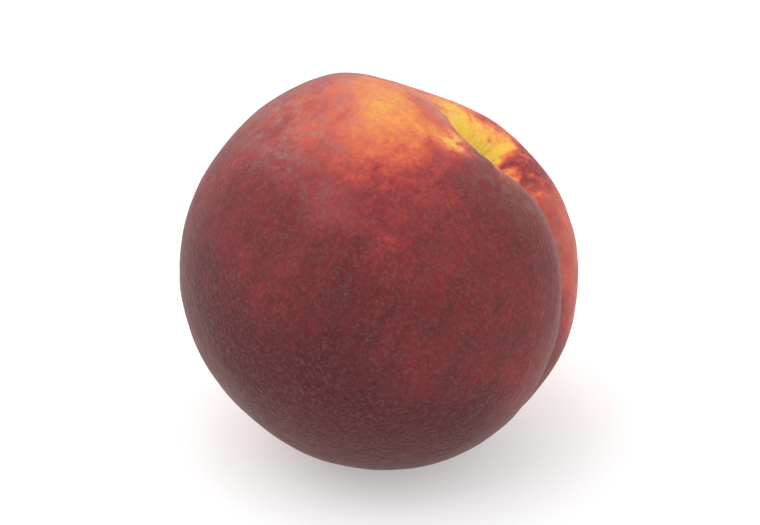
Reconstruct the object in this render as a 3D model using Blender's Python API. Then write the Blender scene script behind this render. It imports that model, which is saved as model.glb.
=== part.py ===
"""A ripe whole peach, as one solid.

The fruit is worked out in its own axes first: the stem end up, the suture towards +X. Every point of the
skin is a distance from the middle of the fruit, so the body, the stem cavity, the suture and the blossom
tip are each a short rule that adds to that distance or takes from it. The fruit is then leaned over, as it
lies on a table, and pressed on the table, which makes its small flat spot.

Metres, +Z up. The origin is on the table, under the middle of the fruit's box.
"""

import math

import bmesh
import bpy
from mathutils import Matrix, Vector

# Body: half its width, and how far each end reaches from the middle as a share of that.
CHEEK_RADIUS = 0.0377
STEM_END = 0.955
BLOSSOM_END = 0.985
BODY_POWER = 2.08
WAIST_BLEND = 2.5

# Stem cavity: a rounded funnel, a little longer along the suture than across it.
CAVITY_DEPTH = 0.0135
CAVITY_RADIUS = 0.0086
CAVITY_STRETCH_FRONT = 1.15
CAVITY_STRETCH_BACK = 1.10

# Suture: a crease down one side, deep beside the stem cavity and fading before the blossom tip.
SUTURE_DEPTH_AT_STEM = 0.0066
SUTURE_DEPTH_ON_CHEEK = 0.0015
SUTURE_REACH = math.radians(58)
SUTURE_HALF_WIDTH_AT_STEM = 0.0034
SUTURE_HALF_WIDTH_ON_CHEEK = 0.0052
SUTURE_ROUNDING = 0.0006
SUTURE_FADE_START = math.radians(92)
SUTURE_FADE_LENGTH = math.radians(78)
SUTURE_START_RADIUS = 0.009
CREASE_POWER = 1.15

# Saddle: the shallow dip between the cheeks on the side away from the suture.
SADDLE_DEPTH = 0.0020
SADDLE_HALF_WIDTH = math.radians(29)
SADDLE_REACH = math.radians(43)

# Blossom tip: a small point in a shallow dimple.
TIP_HEIGHT = 0.0016
TIP_RADIUS = 0.0030
TIP_DIMPLE_DEPTH = 0.0006
TIP_DIMPLE_RADIUS = 0.0080

# Swellings and hollows that make the two cheeks unequal: polar angle from the stem, azimuth from the
# suture, half width each way in degrees, and height.
CHEEK_FORMS = (
    (24, -105, 12, 16, -0.0005),
    (38, -42, 22, 24, 0.0004),
    (46, -155, 24, 30, 0.0015),
    (28, 155, 15, 36, -0.0026),
    (100, 0, 35, 60, 0.0010),
)

# How the fruit lies: the lean of its stem axis, the way it leans, and the turn about its own axis.
STEM_LEAN = math.radians(37.7)
LEAN_HEADING = math.radians(4.4)
SUTURE_TURN = math.radians(-26.5)
FLAT_SPOT_RADIUS = 0.0126

# Mesh: meridians from stem to tip and rings around, both closer together at the suture and the stem.
MERIDIANS = 60
RINGS = 40
MERIDIAN_GATHER = 0.62
RING_GATHER = 0.45

SKIN_COLOUR = (0.22, 0.045, 0.045, 1.0)
SKIN_ROUGHNESS = 0.62


def hump(offset, half_width):
    """A smooth hump: 1 at its middle, fading out past its half width."""
    return math.exp(-((offset / half_width) ** 2))


def wrapped(angle):
    """The same angle between -180 and 180 degrees."""
    return math.atan2(math.sin(angle), math.cos(angle))


def smooth_step(value):
    """0 below 0, 1 above 1 and a smooth rise between."""
    held = min(max(value, 0.0), 1.0)
    return held * held * (3.0 - 2.0 * held)


def body_reach(polar, azimuth):
    """Distance from the middle to the plain body, a rounded box-like ball."""
    towards_stem = 0.5 * (1.0 + math.tanh(WAIST_BLEND * math.cos(polar)))
    end = BLOSSOM_END + (STEM_END - BLOSSOM_END) * towards_stem
    across = math.sin(polar)
    spread = (
        abs(across * math.cos(azimuth)) ** BODY_POWER
        + abs(across * math.sin(azimuth)) ** BODY_POWER
        + abs(math.cos(polar) / end) ** BODY_POWER
    )
    return CHEEK_RADIUS / spread ** (1.0 / BODY_POWER)


def stem_cavity(polar, azimuth):
    """Depth of the funnel that the stem stood in."""
    if polar > math.pi / 2:
        return 0.0
    off_axis = CHEEK_RADIUS * math.sin(polar)
    along = off_axis * math.cos(azimuth)
    across = off_axis * math.sin(azimuth)
    stretch = CAVITY_STRETCH_FRONT if along > 0 else CAVITY_STRETCH_BACK
    return CAVITY_DEPTH * hump(math.hypot(along / stretch, across), CAVITY_RADIUS)


def clear_of_axis(polar):
    """0 on the stem axis and 1 away from it, so that the creases start on the cavity's wall."""
    return 1.0 - hump(CHEEK_RADIUS * math.sin(polar), SUTURE_START_RADIUS)


def suture(polar, azimuth):
    """Depth of the crease between the cheeks."""
    if abs(wrapped(azimuth)) > math.pi / 2:
        return 0.0
    away = CHEEK_RADIUS * math.sin(polar) * abs(math.sin(azimuth))
    rounded = math.hypot(away, SUTURE_ROUNDING) - SUTURE_ROUNDING
    extra = SUTURE_DEPTH_AT_STEM - SUTURE_DEPTH_ON_CHEEK
    depth = SUTURE_DEPTH_ON_CHEEK + extra * hump(polar, SUTURE_REACH)
    widening = SUTURE_HALF_WIDTH_ON_CHEEK - SUTURE_HALF_WIDTH_AT_STEM
    half_width = SUTURE_HALF_WIDTH_AT_STEM + widening * math.sin(polar)
    fade = smooth_step(1.0 - (polar - SUTURE_FADE_START) / SUTURE_FADE_LENGTH)
    crease = math.exp(-((rounded / half_width) ** CREASE_POWER))
    return depth * fade * clear_of_axis(polar) * crease


def saddle(polar, azimuth):
    """Depth of the dip that faces the suture across the cavity."""
    away = math.pi - abs(wrapped(azimuth))
    return SADDLE_DEPTH * hump(away, SADDLE_HALF_WIDTH) * clear_of_axis(polar) * hump(polar, SADDLE_REACH)


def blossom_tip(polar):
    """Height of the point at the blossom end, less the dimple around it."""
    if polar < math.pi / 2:
        return 0.0
    off_axis = CHEEK_RADIUS * math.sin(polar)
    return TIP_HEIGHT * hump(off_axis, TIP_RADIUS) - TIP_DIMPLE_DEPTH * hump(off_axis, TIP_DIMPLE_RADIUS)


def cheek_forms(polar, azimuth):
    """Height of the broad swellings and hollows."""
    height = 0.0
    for polar_at, azimuth_at, polar_width, azimuth_width, rise in CHEEK_FORMS:
        down = hump(polar - math.radians(polar_at), math.radians(polar_width))
        round_about = hump(wrapped(azimuth - math.radians(azimuth_at)), math.radians(azimuth_width))
        height += rise * down * round_about
    return height


def skin_point(polar, azimuth):
    """The point of the skin in one direction from the middle of the fruit."""
    reach = body_reach(polar, azimuth) + cheek_forms(polar, azimuth) + blossom_tip(polar)
    reach -= stem_cavity(polar, azimuth) + suture(polar, azimuth) + saddle(polar, azimuth)
    across = math.sin(polar)
    direction = Vector((across * math.cos(azimuth), across * math.sin(azimuth), math.cos(polar)))
    return reach * direction


def gathered(angle, gather):
    """An even angle moved so that its neighbours stand closer together around 0."""
    return angle - gather * math.sin(angle)


def lowest(mesh):
    return min(vertex.co.z for vertex in mesh.verts)


def grow_fruit():
    """The whole fruit in its own axes, from a ball whose points are moved out to the skin."""
    mesh = bmesh.new()
    bmesh.ops.create_uvsphere(mesh, u_segments=MERIDIANS, v_segments=RINGS, radius=1.0)
    for vertex in mesh.verts:
        even_polar = math.acos(max(-1.0, min(1.0, vertex.co.z)))
        even_azimuth = math.atan2(vertex.co.y, vertex.co.x)
        polar = gathered(even_polar, RING_GATHER)
        azimuth = gathered(even_azimuth, MERIDIAN_GATHER)
        vertex.co = skin_point(polar, azimuth)
    return mesh


def lay_down(mesh):
    """Lean the fruit over and press it on the table, so that it rests on a flat spot."""
    pose = Matrix.Rotation(LEAN_HEADING, 4, "Z")
    pose @= Matrix.Rotation(STEM_LEAN, 4, "Y")
    pose @= Matrix.Rotation(SUTURE_TURN, 4, "Z")
    bmesh.ops.transform(mesh, matrix=pose, verts=mesh.verts)
    pressed_depth = CHEEK_RADIUS - math.sqrt(CHEEK_RADIUS**2 - FLAT_SPOT_RADIUS**2)
    table = lowest(mesh) + pressed_depth
    for vertex in mesh.verts:
        vertex.co.z = max(vertex.co.z, table)


def stand_on_origin(mesh):
    """Move the fruit so that the flat spot is at height 0 and its box is centred over the origin."""
    xs = [vertex.co.x for vertex in mesh.verts]
    ys = [vertex.co.y for vertex in mesh.verts]
    shift = Vector((-(min(xs) + max(xs)) / 2, -(min(ys) + max(ys)) / 2, -lowest(mesh)))
    bmesh.ops.translate(mesh, vec=shift, verts=mesh.verts)


def skin_material():
    material = bpy.data.materials.new("peach_skin")
    material.use_nodes = True
    shader = material.node_tree.nodes["Principled BSDF"]
    shader.inputs["Base Color"].default_value = SKIN_COLOUR
    shader.inputs["Roughness"].default_value = SKIN_ROUGHNESS
    shader.inputs["Metallic"].default_value = 0.0
    return material


def make_peach():
    fruit = grow_fruit()
    lay_down(fruit)
    stand_on_origin(fruit)
    bmesh.ops.recalc_face_normals(fruit, faces=fruit.faces)
    data = bpy.data.meshes.new("peach")
    fruit.to_mesh(data)
    fruit.free()
    data.shade_smooth()
    data.materials.append(skin_material())
    peach = bpy.data.objects.new("peach", data)
    bpy.context.scene.collection.objects.link(peach)


for old_object in list(bpy.data.objects):
    bpy.data.objects.remove(old_object)
make_peach()
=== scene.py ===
import math

import bpy
from mathutils import Matrix, Vector, noise


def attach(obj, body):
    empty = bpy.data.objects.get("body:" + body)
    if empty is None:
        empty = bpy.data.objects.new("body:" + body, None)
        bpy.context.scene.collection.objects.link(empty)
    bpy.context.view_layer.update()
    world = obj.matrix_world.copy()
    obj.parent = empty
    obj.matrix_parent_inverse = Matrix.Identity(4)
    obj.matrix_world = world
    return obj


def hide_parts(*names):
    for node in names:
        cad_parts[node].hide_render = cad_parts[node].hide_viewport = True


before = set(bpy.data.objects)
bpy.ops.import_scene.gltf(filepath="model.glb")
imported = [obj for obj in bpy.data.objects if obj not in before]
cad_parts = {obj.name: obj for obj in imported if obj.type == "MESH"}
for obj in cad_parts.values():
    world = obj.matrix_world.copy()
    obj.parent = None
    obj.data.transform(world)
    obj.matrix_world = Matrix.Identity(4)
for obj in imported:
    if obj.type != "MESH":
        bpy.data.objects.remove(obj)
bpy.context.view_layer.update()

# ---- The peach ----------------------------------------------------------------------------------
# One ripe fruit, grown in one piece: a thin downy skin over soft flesh, two unequal cheeks that meet
# in a suture, and a stem cavity. It starts as a copy of the plain solid, rounded off, and then gets
# what that leaves out: slow dents, folds round the stem, the stem's scar and the dry blossom tip.

# How it lies. Turned back by this pose, the stem points up Z and the suture faces X.
STEM_LEAN = math.radians(37.7)
LEAN_HEADING = math.radians(4.4)
SUTURE_TURN = math.radians(-26.5)
FRUIT_MIDDLE = Vector((0.000186, 0.000125, 0.035945))
CHEEK_RADIUS = 0.0377

# What grew on it, in metres. The ends are heights along the stem axis from the fruit's middle.
DENT_SIZE = 0.020
DENT_DEPTH = 0.00028
RIPPLE_SIZE = 0.0055
RIPPLE_DEPTH = 0.00010
STEM_END = 0.015
SCAR_RADIUS = 0.0024
SCAR_RIM = 0.0006
SCAR_HOLLOW = 0.0011
SCAR_GRAIN = 0.0007
FOLD_DEPTH = 0.0009
FOLDS_FULL = 0.004725
FOLDS_END = 0.01575
BROAD_FOLDS = (2.9, 60.0)
NARROW_FOLDS = (6.5, 90.0)
TIP_END = -0.025
TIP_RADIUS = 0.0013
TIP_HOLLOW = 0.0005
TIP_GRAIN = 0.0006
SUBDIVISIONS = 2
FLAT_SPOT_HEIGHT = 0.0006
FULL_DETAIL_HEIGHT = 0.006

pose = Matrix.Rotation(LEAN_HEADING, 3, "Z")
pose @= Matrix.Rotation(STEM_LEAN, 3, "Y")
pose @= Matrix.Rotation(SUTURE_TURN, 3, "Z")


def start_from(name, piece_name):
    """A copy of a solid as a new piece: joined up, in quads where it can be, and rounded off."""
    bpy.ops.object.select_all(action="DESELECT")
    piece = bpy.data.objects.new(piece_name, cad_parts[name].data.copy())
    bpy.context.scene.collection.objects.link(piece)
    piece.data.materials.clear()
    piece.select_set(True)
    bpy.context.view_layer.objects.active = piece
    bpy.ops.object.mode_set(mode="EDIT")
    bpy.ops.mesh.select_all(action="SELECT")
    bpy.ops.mesh.remove_doubles(threshold=1e-6)
    bpy.ops.mesh.tris_convert_to_quads(face_threshold=math.radians(60), shape_threshold=math.radians(80))
    bpy.ops.mesh.customdata_custom_splitnormals_clear()
    bpy.ops.object.mode_set(mode="OBJECT")
    rounding = piece.modifiers.new("rounding", "SUBSURF")
    rounding.levels = rounding.render_levels = SUBDIVISIONS
    bpy.ops.object.modifier_apply(modifier="rounding")
    bpy.ops.object.shade_smooth()
    return piece


def fade(value, start, end):
    """0 at start, 1 at end, easing in and out between them."""
    share = min(max((value - start) / (end - start), 0.0), 1.0)
    return share * share * (3 - 2 * share)


def ridge(value, middle, half_width):
    """A smooth hump: 1 at its middle, 0 a half width away from it."""
    return fade(abs(value - middle), half_width, 0.0)


def rough(spot, grain):
    """Close, uneven roughness for bare dry places, about -1 to 1."""
    return noise.fractal(spot / grain, 0.8, 2.0, 2)


def creases(round_axis, from_axis, folds, start=0.0):
    """How near a place is to a fold that runs in towards the stem, wandering as it goes."""
    folds_round, wander = folds
    return abs(noise.noise(round_axis * folds_round + Vector((0, 0, wander * from_axis + start))))


def stem_end_detail(spot, from_axis):
    """Folds that run in to a round scar with a raised rim, where the stem broke off."""
    round_axis = Vector((spot.x, spot.y, 0)) / max(from_axis, 1e-6)
    crease = creases(round_axis, from_axis, BROAD_FOLDS)
    crease += 0.5 * creases(round_axis, from_axis, NARROW_FOLDS, start=5)
    folded = fade(from_axis, SCAR_RADIUS, SCAR_RADIUS * 1.9) * fade(from_axis, FOLDS_END, FOLDS_FULL)
    torn = rough(spot, SCAR_GRAIN)
    rim = ridge(from_axis, SCAR_RADIUS, SCAR_RADIUS * 0.55) * (1 + 0.5 * torn)
    hollow = fade(from_axis, SCAR_RADIUS * 0.85, SCAR_RADIUS * 0.35) * (1 + 0.3 * torn)
    return FOLD_DEPTH * folded * (0.3 - crease) + SCAR_RIM * rim - SCAR_HOLLOW * hollow


def blossom_end_detail(spot, from_axis):
    """The dry ring and pit that the blossom leaves."""
    ring = ridge(from_axis, TIP_RADIUS, TIP_RADIUS * 0.6) * (1 + 0.6 * rough(spot, TIP_GRAIN))
    pit = fade(from_axis, TIP_RADIUS * 0.8, 0.0)
    return TIP_HOLLOW * (0.5 * ring - pit)


def grown_detail(spot):
    """How far the skin stands out, or in, at a place given in the fruit's own axes."""
    from_axis = math.hypot(spot.x, spot.y)
    out = DENT_DEPTH * noise.fractal(spot / DENT_SIZE, 1.0, 2.0, 2)
    out += RIPPLE_DEPTH * noise.fractal(spot / RIPPLE_SIZE, 1.0, 2.0, 2)
    if spot.z > STEM_END and from_axis < FOLDS_END:
        out += stem_end_detail(spot, from_axis)
    if spot.z < TIP_END and from_axis < TIP_RADIUS * 3:
        out += blossom_end_detail(spot, from_axis)
    return out


# All the detail fades out near the table, so the flat spot stays flat.
skin = start_from("peach", "skin")
outwards = [vertex.normal.copy() for vertex in skin.data.vertices]
for vertex, outward in zip(skin.data.vertices, outwards):
    clear_of_table = fade(vertex.co.z, FLAT_SPOT_HEIGHT, FULL_DETAIL_HEIGHT)
    spot = pose.transposed() @ (vertex.co - FRUIT_MIDDLE)
    vertex.co += outward * grown_detail(spot) * clear_of_table
skin.data.update()

# Its skin. The ground colour is a warm yellow, green-gold in the cavity. Sun has laid a blush over
# it, from orange through crimson to a dark maroon on the side it shone on, with streaks that run from
# stem to tip. Pale down grows all over it in small tufts, and shows most where it is thickest.
BLUSH_AND_SHADE_COLOURS = (
    (0.00, (0.70, 0.53, 0.052)),
    (0.14, (0.78, 0.44, 0.070)),
    (0.30, (0.74, 0.225, 0.064)),
    (0.44, (0.60, 0.110, 0.054)),
    (0.58, (0.43, 0.056, 0.044)),
    (0.73, (0.26, 0.029, 0.034)),
    (0.87, (0.160, 0.020, 0.025)),
    # the darkest maroon, darkened further so that it also paints the shade on the fruit's underside
    (1.00, (0.080, 0.012, 0.016)),
)
GREEN_GOLD = (0.42, 0.40, 0.05)
BETWEEN_HAIRS = (0.55, 0.42, 0.42)
# the pale down, also used to paint its sheen and glints
DOWN_AND_SHEEN = (0.54, 0.29, 0.235)
DARK_BARK = (0.060, 0.030, 0.014)
PALE_BARK = (0.26, 0.15, 0.07)

# The sizes of the skin's markings, in metres. Heights are squashed before the streaks are laid, which
# draws them out along the stem axis.
CLOUD_SIZE = 0.016
WOBBLE_SIZE = 0.009
MOTTLE_SIZE = 0.0062
STREAK_SIZE = 0.0030
BLOTCH_SIZE = 0.0026
TUFT_SIZE = 0.0013
GRAIN_SIZE = 0.00072
HEIGHT_SQUASH = 0.16
WOBBLE = 0.22

material = bpy.data.materials.new("peach_skin")
material.use_nodes = True
nodes, links = material.node_tree.nodes, material.node_tree.links
shader = nodes["Principled BSDF"]


def feed(socket, value):
    """Gives a socket a plain value, or joins another node's output to it."""
    if isinstance(value, bpy.types.NodeSocket):
        links.new(value, socket)
    else:
        socket.default_value = value


def feed_all(sockets, values):
    for socket, value in zip(sockets, values):
        feed(socket, value)


def sums(operation, *values, clamp=False):
    """One sum on numbers, named as Blender's Math node names it."""
    made = nodes.new("ShaderNodeMath")
    made.operation = operation
    made.use_clamp = clamp
    feed_all(made.inputs, values)
    return made.outputs[0]


def vector_sums(operation, *values, scale=None):
    """One sum on places. Only a length comes out as a number, and only SCALE has a scale."""
    made = nodes.new("ShaderNodeVectorMath")
    made.operation = operation
    feed_all(made.inputs, values)
    if scale is not None:
        made.inputs["Scale"].default_value = scale
    return made.outputs["Value" if operation == "LENGTH" else "Vector"]


def together(x, y, z):
    """Three numbers as one place."""
    made = nodes.new("ShaderNodeCombineXYZ")
    feed_all(made.inputs, (x, y, z))
    return made.outputs[0]


def apart(place):
    """A place as its three numbers."""
    made = nodes.new("ShaderNodeSeparateXYZ")
    feed(made.inputs[0], place)
    return made.outputs


def ease(value, low, high, to_low=0.0, to_high=1.0):
    """Goes smoothly from one value to another as the first number goes from low to high."""
    made = nodes.new("ShaderNodeMapRange")
    made.interpolation_type = "SMOOTHSTEP"
    feed_all(made.inputs, (value, low, high, to_low, to_high))
    return made.outputs["Result"]


def about_zero(pattern):
    """A pattern's swing to either side of its middle."""
    return sums("SUBTRACT", pattern, 0.5)


def speckle(where, size, detail, roughness, offset=0.0, output="Fac"):
    """Cloudy noise with patches of a given size, in metres."""
    made = nodes.new("ShaderNodeTexNoise")
    feed(made.inputs["Vector"], vector_sums("ADD", where, (offset, offset, offset)))
    made.inputs["Scale"].default_value = CHEEK_RADIUS / size
    made.inputs["Detail"].default_value = detail
    made.inputs["Roughness"].default_value = roughness
    return made.outputs[output]


def level(base, top, amount):
    """One number laid over another, by an amount from 0 to 1."""
    made = nodes.new("ShaderNodeMix")
    feed_all((made.inputs["Factor"], made.inputs[2], made.inputs[3]), (amount, base, top))
    return made.outputs[0]


def paint(base, top, amount, blend="MIX"):
    """One colour laid over another, by an amount from 0 to 1."""
    made = nodes.new("ShaderNodeMix")
    made.data_type = "RGBA"
    made.blend_type = blend
    feed(made.inputs["Factor"], amount)
    for socket, value in ((made.inputs[6], base), (made.inputs[7], top)):
        feed(socket, (*value, 1.0) if isinstance(value, tuple) else value)
    return made.outputs[2]


# Places in the fruit's own axes, in cheek radii. Polar is the angle down from the stem, azimuth the
# angle round it from the suture. Both are read from a wobbled place, so no patch has a drawn edge.
to_own = nodes.new("ShaderNodeMapping")
to_own.vector_type = "TEXTURE"
to_own.inputs["Location"].default_value = FRUIT_MIDDLE
to_own.inputs["Rotation"].default_value = pose.to_euler()
to_own.inputs["Scale"].default_value = (CHEEK_RADIUS,) * 3
feed(to_own.inputs["Vector"], nodes.new("ShaderNodeTexCoord").outputs["Object"])
own = to_own.outputs["Vector"]
wobble = vector_sums("SUBTRACT", speckle(own, WOBBLE_SIZE, 6.0, 0.62, output="Color"), (0.5, 0.5, 0.5))
wobbled = vector_sums("ADD", vector_sums("NORMALIZE", own), vector_sums("SCALE", wobble, scale=WOBBLE))
wobbled_x, wobbled_y, wobbled_z = apart(vector_sums("NORMALIZE", wobbled))
polar = sums("ARCCOSINE", wobbled_z)
azimuth = sums("ARCTAN2", wobbled_y, wobbled_x)


def patch(polar_at, azimuth_at, tall, wide, softness):
    """A soft-edged patch: its middle, its half height and its half width, in degrees."""
    down = sums("DIVIDE", sums("SUBTRACT", polar, math.radians(polar_at)), math.radians(tall))
    turned = sums("WRAP", sums("SUBTRACT", azimuth, math.radians(azimuth_at)), math.pi, -math.pi)
    across = sums("DIVIDE", turned, math.radians(wide))
    return ease(vector_sums("LENGTH", together(down, across, 0.0)), 1 + softness, 1 - softness)


clouds = speckle(own, CLOUD_SIZE, 3.0, 0.55, offset=7.0)
mottle = speckle(own, MOTTLE_SIZE, 5.0, 0.62, offset=3.0)
blotches = speckle(own, BLOTCH_SIZE, 4.0, 0.68, offset=9.0)
tufts = speckle(own, TUFT_SIZE, 3.0, 0.70, offset=5.0)
grain = speckle(own, GRAIN_SIZE, 3.0, 0.75)
drawn_out = vector_sums("MULTIPLY", wobbled, (1.0, 1.0, HEIGHT_SQUASH))
streaks = speckle(drawn_out, STREAK_SIZE, 4.0, 0.60, offset=1.0)

# The blush: 0 is bare ground colour, 1 the darkest maroon. Away from the patches it is a cloudy
# orange. Each patch is laid over those before it. The two patches past 1, low on the fruit, paint
# shade on its underside over the maroon.
BARE_BLUSH = 0.44
CLOUDY_BLUSH = 0.75
BLUSH_AND_SHADE_PATCHES = (
    # polar, azimuth, half height, half width, softness, blush
    (150, -60, 44, 180, 0.45, 0.70),  # the blossom end, all round
    (88, -78, 72, 102, 0.24, 0.88),  # the sunny cheek
    # painted shade: darker than any blush, low on the fruit's underside
    (116, -66, 40, 84, 0.60, 1.05),
    (76, -30, 30, 22, 0.70, 0.86),
    # painted shade: darker than any blush, low on the fruit
    (104, -40, 17, 24, 0.70, 1.04),
    (70, -150, 34, 26, 0.60, 0.83),
    (50, -86, 19, 18, 0.80, 0.72),  # its paler shoulder
    (58, -146, 22, 26, 0.60, 0.74),
    (56, -124, 18, 32, 0.70, 0.72),
    (42, -122, 17, 33, 0.55, 0.54),  # the orange on top of the shoulder
    (40, -150, 15, 17, 0.80, 0.44),
    (38, -130, 13, 25, 0.80, 0.25),
    (50, -109, 8, 12, 0.80, 0.42),
    (48, -96, 6, 8, 0.80, 0.70),  # small darker and paler places round it
    (58, -77, 9, 12, 0.80, 0.86),
    (46, -8, 7, 9, 0.80, 0.82),
    (42, 12, 22, 9, 0.80, 0.46),
    (59, -138, 11, 11, 0.80, 0.55),
    (72, -136, 8, 12, 0.80, 0.76),
    (36, -99, 7, 9, 0.80, 0.55),
    (60, -97, 8, 12, 0.80, 0.78),
    (72, -112, 8, 10, 0.80, 0.78),
    (92, -108, 18, 20, 0.80, 0.87),
    (84, -62, 14, 16, 0.80, 0.90),
    (24, -140, 6, 26, 0.70, 0.52),
    (34, -50, 12, 36, 0.80, 0.90),  # the dark crest between shoulder and suture
    (30, 30, 24, 44, 0.45, 0.62),  # the shaded cheek, round the cavity
    (40, 26, 13, 18, 0.70, 0.48),
    (14, 20, 7, 40, 0.50, 0.74),
)
blush_and_shade = sums("MULTIPLY_ADD", about_zero(clouds), CLOUDY_BLUSH, BARE_BLUSH)
for *where, amount in BLUSH_AND_SHADE_PATCHES:
    blush_and_shade = level(blush_and_shade, amount, patch(*where))

# Markings are strongest in the reds. Full maroon and clear orange are both more even.
unsettled = sums("MULTIPLY", ease(blush_and_shade, 1.0, 0.60, 0.56, 1.0), ease(blush_and_shade, 0.25, 0.60, 0.55, 1.0))
for pattern, strength in ((mottle, 0.34), (streaks, 0.30), (blotches, 0.44), (tufts, 0.38)):
    change = sums("MULTIPLY", about_zero(pattern), sums("MULTIPLY", unsettled, strength))
    blush_and_shade = sums("ADD", blush_and_shade, change)
GRAIN_STRENGTH = 0.34
blush_and_shade = sums("MULTIPLY_ADD", about_zero(grain), GRAIN_STRENGTH, blush_and_shade)

# The cavity keeps its ground colour, with the blush running into it in streaks and freckles, and
# furthest over the near rim.
CAVITY_EDGE = math.radians(26)
CAVITY_CLEAR = math.radians(14)
NEAR_RIM = (20, -136, 14, 26, 0.6)
CAVITY_PATCHES = (
    # polar, azimuth, half height, half width, softness, blush
    (27, -102, 5, 13, 0.8, 0.06),
    (20, 24, 4, 11, 0.8, 0.80),
    (20, 122, 3, 7, 0.9, 0.50),
    (21, 104, 4, 10, 0.9, 0.62),
    (15, 44, 4, 10, 0.9, 0.84),
    (22, 54, 4, 18, 0.9, 0.86),
    (22, 144, 5, 12, 0.8, 0.10),
)
cavity_edge = polar
for pattern, reach in ((about_zero(streaks), 0.30), (about_zero(mottle), 0.24), (patch(*NEAR_RIM), 0.13)):
    cavity_edge = sums("MULTIPLY_ADD", pattern, reach, cavity_edge)
cavity = ease(cavity_edge, CAVITY_EDGE, CAVITY_CLEAR)
blush_and_shade = level(blush_and_shade, sums("MULTIPLY", mottle, 0.16), cavity)
freckles = ease(blotches, 0.34, 0.60, 0.25, 1.0)
for *where, amount in CAVITY_PATCHES:
    blush_and_shade = level(blush_and_shade, amount, sums("MULTIPLY", patch(*where), freckles))

ramp = nodes.new("ShaderNodeValToRGB")
feed(ramp.inputs["Fac"], blush_and_shade)
stops = ramp.color_ramp.elements
while len(stops) < len(BLUSH_AND_SHADE_COLOURS):
    stops.new(0.5)
for stop, (at, stop_colour) in zip(stops, BLUSH_AND_SHADE_COLOURS):
    stop.position = at
    stop.color = (*stop_colour, 1.0)
colour = ramp.outputs["Color"]

# Deep in the cavity the ground colour turns green-gold. Only the stem's scar and the blossom tip are
# bare: dry, brown and rough. Both are found by how far they are from the stem axis.
GREEN_STRENGTH = 0.55
scar_size = SCAR_RADIUS / CHEEK_RADIUS
tip_size = TIP_RADIUS / CHEEK_RADIUS
own_x, own_y, own_z = apart(own)
from_axis = vector_sums("LENGTH", together(own_x, own_y, 0.0))
from_axis = sums("MULTIPLY_ADD", about_zero(tufts), 0.05, from_axis)
at_stem = ease(own_z, 0.1, 0.3)
at_tip = ease(own_z, -0.5, -0.7)
scar = sums("MULTIPLY", ease(from_axis, 1.45 * scar_size, 0.9 * scar_size), at_stem)
tip = sums("MULTIPLY", ease(from_axis, 1.5 * tip_size, 0.8 * tip_size), at_tip)
dry = sums("MAXIMUM", scar, tip)
green = sums("MULTIPLY", ease(from_axis, 0.20, 0.05), at_stem)
colour = paint(colour, GREEN_GOLD, sums("MULTIPLY", green, GREEN_STRENGTH))

# Between the hairs the skin looks darker, less so in the cavity. Over it lies the down's pale veil, in
# tufts, thicker in some places than in others. Its patches are partly painted sheen, where the down
# catches the light, and the lit hairs are painted glints of light on the down.
DOWN_AND_SHEEN_PATCHES = (
    # polar, azimuth, half height, half width, softness, down and painted sheen
    (54, -152, 24, 26, 0.60, 0.13),
    (58, -138, 16, 18, 0.70, 0.16),
    (68, -110, 6, 9, 0.80, 0.07),
    (24, -144, 5, 24, 0.60, 0.26),
    (28, -48, 9, 50, 0.70, 0.08),
    (80, -14, 50, 10, 0.70, 0.035),
    (44, 11, 26, 12, 0.80, 0.11),
)
shade = sums("MULTIPLY", ease(grain, 0.66, 0.26, 0.0, 0.65), ease(cavity, 1.0, 0.0, 0.35, 1.0))
colour = paint(colour, BETWEEN_HAIRS, shade, blend="MULTIPLY")
down_and_sheen = sums("MULTIPLY_ADD", about_zero(clouds), 0.04, 0.012)
for *where, amount in DOWN_AND_SHEEN_PATCHES:
    down_and_sheen = level(down_and_sheen, amount, patch(*where))
down_and_sheen = sums("MULTIPLY", down_and_sheen, ease(blotches, 0.32, 0.68, 0.20, 2.0))
down_and_sheen = sums("MULTIPLY", down_and_sheen, ease(tufts, 0.30, 0.70, 0.40, 1.7))
# painted glints: hairs that catch the light
lit_hairs = sums("MULTIPLY", ease(grain, 0.42, 0.80), ease(mottle, 0.30, 0.70, 0.07, 0.15))
down_and_sheen = sums("ADD", lit_hairs, down_and_sheen, clamp=True)
colour = paint(colour, DOWN_AND_SHEEN, down_and_sheen)
bark = paint(DARK_BARK, PALE_BARK, ease(grain, 0.3, 0.7))
colour = paint(colour, bark, sums("MULTIPLY", dry, 0.92))

# Down scatters light back at the skin's edges, and keeps it from shining.
bump = nodes.new("ShaderNodeBump")
bump.inputs["Strength"].default_value = 0.6
bump.inputs["Distance"].default_value = 0.0004
feed(bump.inputs["Height"], sums("ADD", grain, sums("MULTIPLY", tufts, 0.8)))
feed(shader.inputs["Normal"], bump.outputs["Normal"])
feed(shader.inputs["Base Color"], colour)
feed(shader.inputs["Roughness"], ease(tufts, 0.25, 0.75, 0.52, 0.70))
shader.inputs["Specular IOR Level"].default_value = 0.15
shader.inputs["Sheen Weight"].default_value = 0.20
shader.inputs["Sheen Roughness"].default_value = 0.32
shader.inputs["Sheen Tint"].default_value = (1.0, 0.86, 0.80, 1.0)

skin.data.materials.append(material)
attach(skin, "root")
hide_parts("peach")

# ---- Table, light and camera --------------------------------------------------------------------
# A white studio table with no edge in view, a large soft light above and to the left, a weaker one
# on the right, and white surroundings. The table gives off a little light, which thins its shadows.
# The camera looks down on the fruit through a long lens.

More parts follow.
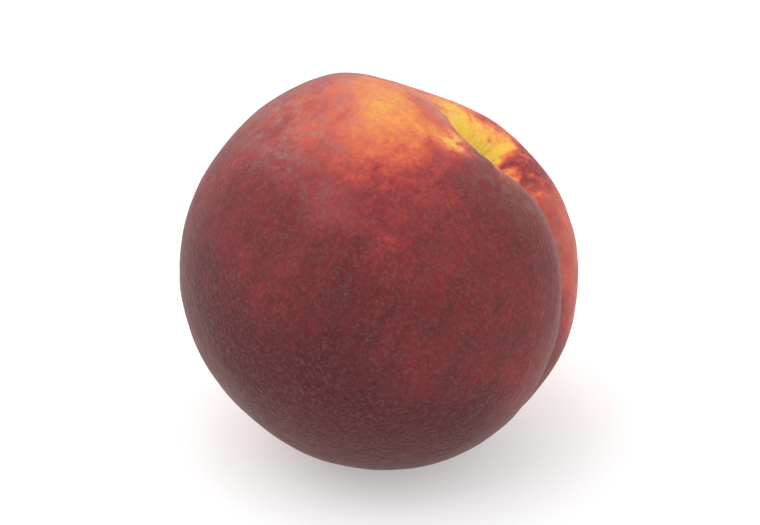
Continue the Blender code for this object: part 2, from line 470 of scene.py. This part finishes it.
TABLE_SIZE = 3.0
TABLE_COLOUR = (0.60, 0.60, 0.60, 1)
TABLE_GLOW = 0.36
SURROUNDINGS = 0.98
AIM = Vector((0, 0, 0.0371))
CAMERA_ELEVATION = math.radians(27)
CAMERA_DISTANCE = 0.40
LENS_LENGTH = 100.0
SENSOR_WIDTH = 36.0

bpy.ops.object.select_all(action="DESELECT")
bpy.ops.mesh.primitive_plane_add(size=TABLE_SIZE, location=(0, 0, 0))
table = bpy.context.object
table.name = "table"
table_white = bpy.data.materials.new("white_table")
table_white.use_nodes = True
surface = table_white.node_tree.nodes["Principled BSDF"]
surface.inputs["Base Color"].default_value = TABLE_COLOUR
surface.inputs["Roughness"].default_value = 0.9
surface.inputs["Emission Color"].default_value = (1, 1, 1, 1)
surface.inputs["Emission Strength"].default_value = TABLE_GLOW
table.data.materials.append(table_white)

world = bpy.data.worlds.new("studio")
bpy.context.scene.world = world
world.use_nodes = True
world.node_tree.nodes["Background"].inputs["Color"].default_value = (1, 1, 1, 1)
world.node_tree.nodes["Background"].inputs["Strength"].default_value = SURROUNDINGS


def softbox(name, place, power, size):
    """A square soft light that faces the fruit."""
    light = bpy.data.lights.new(name, "AREA")
    light.energy = power
    light.size = size
    lamp = bpy.data.objects.new(name, light)
    bpy.context.scene.collection.objects.link(lamp)
    lamp.location = place
    lamp.rotation_euler = (AIM - Vector(place)).to_track_quat("-Z", "Y").to_euler()


softbox("key", place=(-0.45, -0.15, 1.0), power=7.0, size=1.2)
softbox("fill", place=(0.8, 0.1, 0.6), power=1.5, size=0.8)

lens = bpy.data.cameras.new("camera")
lens.sensor_width = SENSOR_WIDTH
lens.lens = LENS_LENGTH
lens.clip_start = 0.01
camera = bpy.data.objects.new("camera", lens)
bpy.context.scene.collection.objects.link(camera)
towards_camera = Vector((0, -math.cos(CAMERA_ELEVATION), math.sin(CAMERA_ELEVATION)))
camera.location = AIM + CAMERA_DISTANCE * towards_camera
camera.rotation_euler = (math.radians(90) - CAMERA_ELEVATION, 0, 0)
bpy.context.scene.camera = camera
bpy.context.scene.view_settings.view_transform = "Standard"
